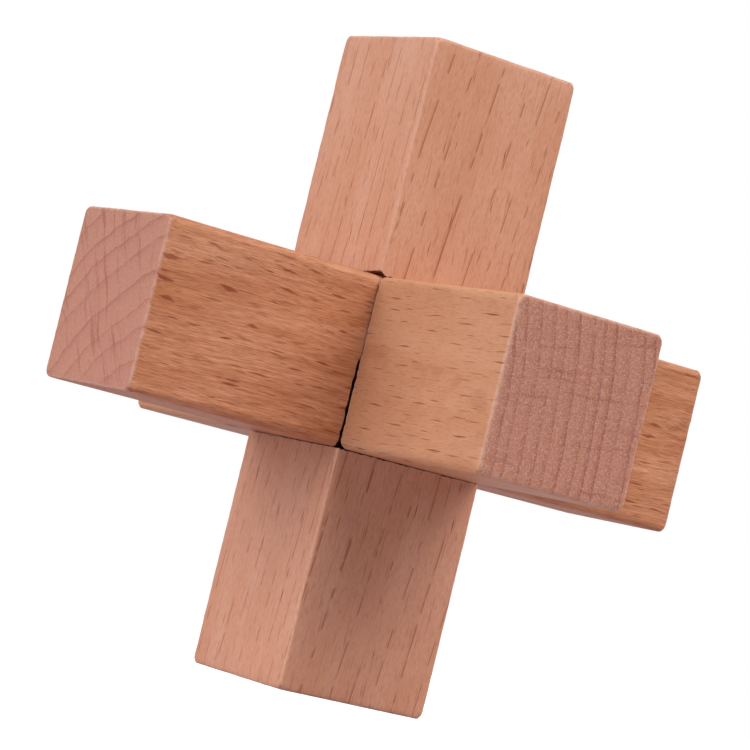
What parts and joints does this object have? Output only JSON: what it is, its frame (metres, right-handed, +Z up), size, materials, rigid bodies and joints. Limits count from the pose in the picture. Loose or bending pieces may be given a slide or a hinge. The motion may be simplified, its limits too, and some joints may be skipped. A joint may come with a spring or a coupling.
{
  "type": "wooden burr puzzle",
  "caption": "Three-way wooden cross puzzle of equal square bars that interlock at their notched middles; the upright key bar turns to free the others.",
  "frame": {"origin": "the point where the three bars' centre lines meet", "axes": "+Z up along the key bar, +X along the left-right bar, -Y towards the front end of the front-back bar"},
  "size_m": [0.076, 0.076, 0.076],
  "materials": {
    "beech_key": "satin",
    "beech_front_back": "satin",
    "beech_left_right": "satin"
  },
  "bodies": {
    "crossed_bars": {"front_back_bar": "beech_front_back", "left_right_bar": "beech_left_right"},
    "key": {"key_bar": "beech_key"}
  },
  "joints": [
    {"name": "key_turn", "type": "hinge", "parent": "crossed_bars", "child": "key", "pos_m": [-0.005, -0.005, 0], "axis": [0, 0, 1], "continuous": true}
  ]
}
